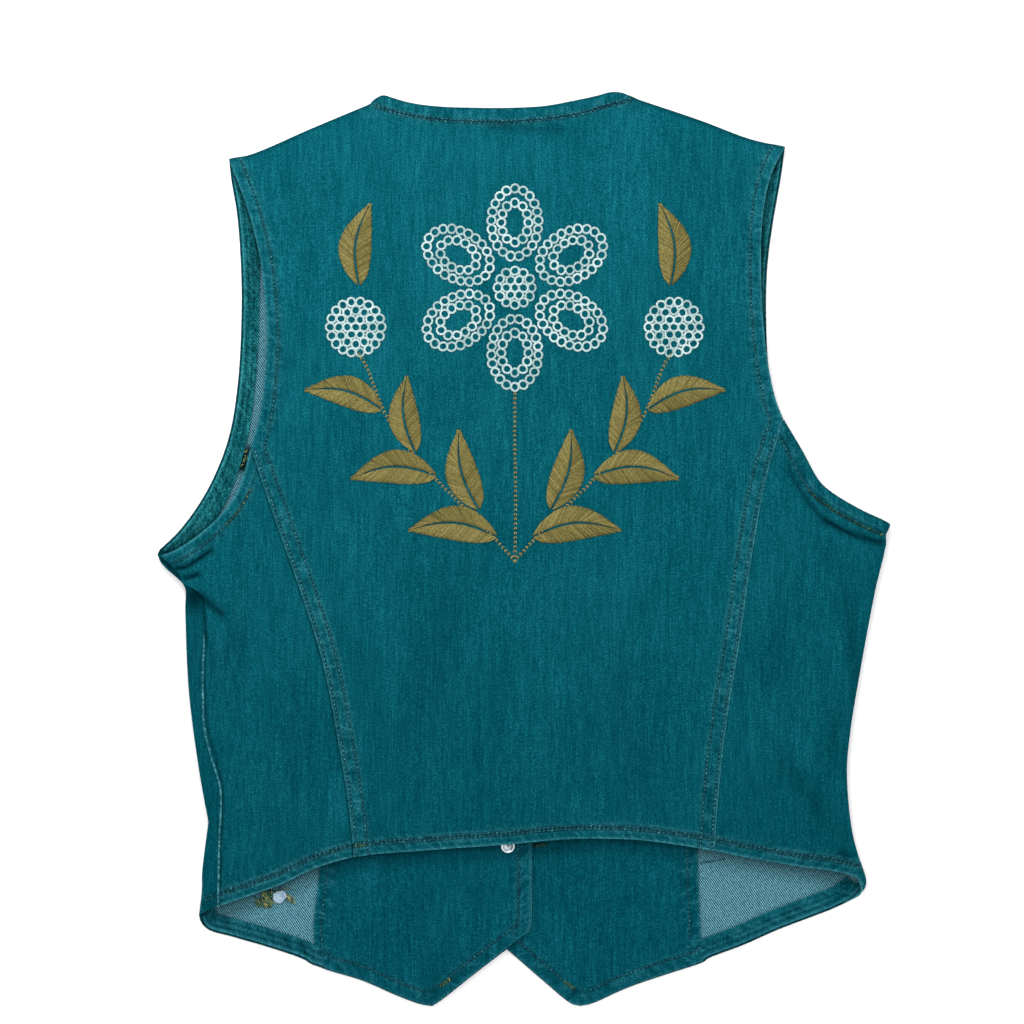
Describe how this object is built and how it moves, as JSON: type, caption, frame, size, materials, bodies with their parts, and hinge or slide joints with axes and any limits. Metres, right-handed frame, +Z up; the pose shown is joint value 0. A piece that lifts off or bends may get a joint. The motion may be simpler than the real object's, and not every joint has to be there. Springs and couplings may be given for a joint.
{
  "type": "denim vest",
  "caption": "Sleeveless denim vest laid flat with its back up: felled back seams, turned hems, pointed fronts with wide facings and a snap closing edge.",
  "frame": {"origin": "middle of the plan outline, on the surface the vest lies on", "axes": "+X towards the wearer's right side as seen in the picture, +Y from hem to neck, +Z up from the surface"},
  "size_m": [0.4837, 0.6035, 0.0114],
  "materials": {
    "denim": "teal over-dyed denim, matt twill",
    "denim_facing": "teal over-dyed denim, matt twill",
    "snap_metal": "bright plated metal"
  },
  "bodies": {
    "root": {"back_centre": "denim", "back_side_left": "denim", "back_side_right": "denim", "front_left": "denim", "front_right": "denim", "front_facing_left": "denim_facing", "front_facing_right": "denim_facing", "front_hem_left": "denim_facing", "front_hem_right": "denim_facing", "armhole_edge_left": "denim_facing", "armhole_edge_right": "denim_facing", "snap_stud_1": "snap_metal", "snap_stud_2": "snap_metal", "snap_stud_3": "snap_metal", "snap_stud_4": "snap_metal", "snap_cap_1": "snap_metal", "snap_cap_2": "snap_metal", "snap_cap_3": "snap_metal", "snap_cap_4": "snap_metal", "pocket_rivet": "snap_metal"}
  },
  "joints": []
}
